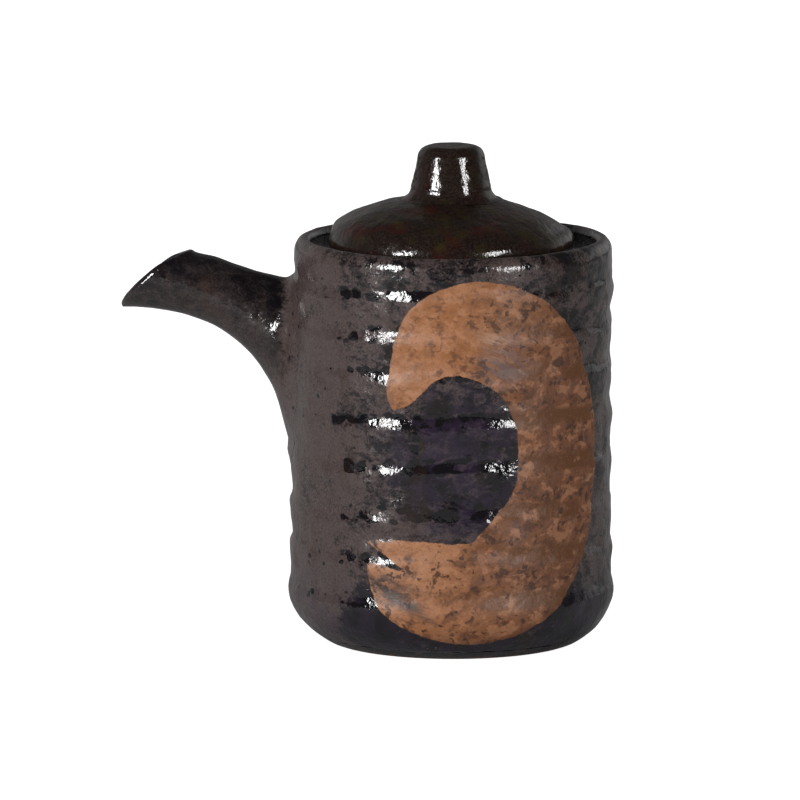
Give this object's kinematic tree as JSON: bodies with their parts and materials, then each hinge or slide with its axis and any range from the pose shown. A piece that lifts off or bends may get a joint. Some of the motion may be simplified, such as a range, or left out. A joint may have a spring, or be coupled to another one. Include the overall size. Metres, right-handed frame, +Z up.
{
  "type": "lidded ceramic pouring bottle",
  "caption": "Small lidded stoneware pourer: ringed cylindrical pot with a beak spout, recessed lid seat and a domed lid with a round knob that lifts off.",
  "frame": {"origin": "centre of the plane the foot ring rests on, on the pot's axis", "axes": "+Z up along the pot's axis; the spout points along -X; the brushed side faces -Y; +Y completes a right-handed frame"},
  "size_m": [0.0985, 0.0646, 0.0984],
  "materials": {
    "pot_glaze": "glossy mottled brown-black glaze with one tan brush stroke",
    "foot_clay": "bare fired stoneware",
    "seat_clay": "thin dark glaze",
    "spout_glaze": "glossy dark brown glaze",
    "lid_glaze": "glossy black-brown glaze with olive and red tints",
    "flange_clay": "bare fired stoneware",
    "knob_glaze": "glossy black-brown glaze"
  },
  "bodies": {
    "pot": {"pot_body": "pot_glaze", "foot_ring": "foot_clay", "lid_seat": "seat_clay", "spout": "spout_glaze"},
    "lid": {"lid_dome": "lid_glaze", "lid_flange": "flange_clay", "lid_knob": "knob_glaze"}
  },
  "joints": [
    {"name": "lid_lift", "type": "slide", "parent": "pot", "child": "lid", "axis": [0, 0, 1], "range_m": [0, 0.04]}
  ]
}
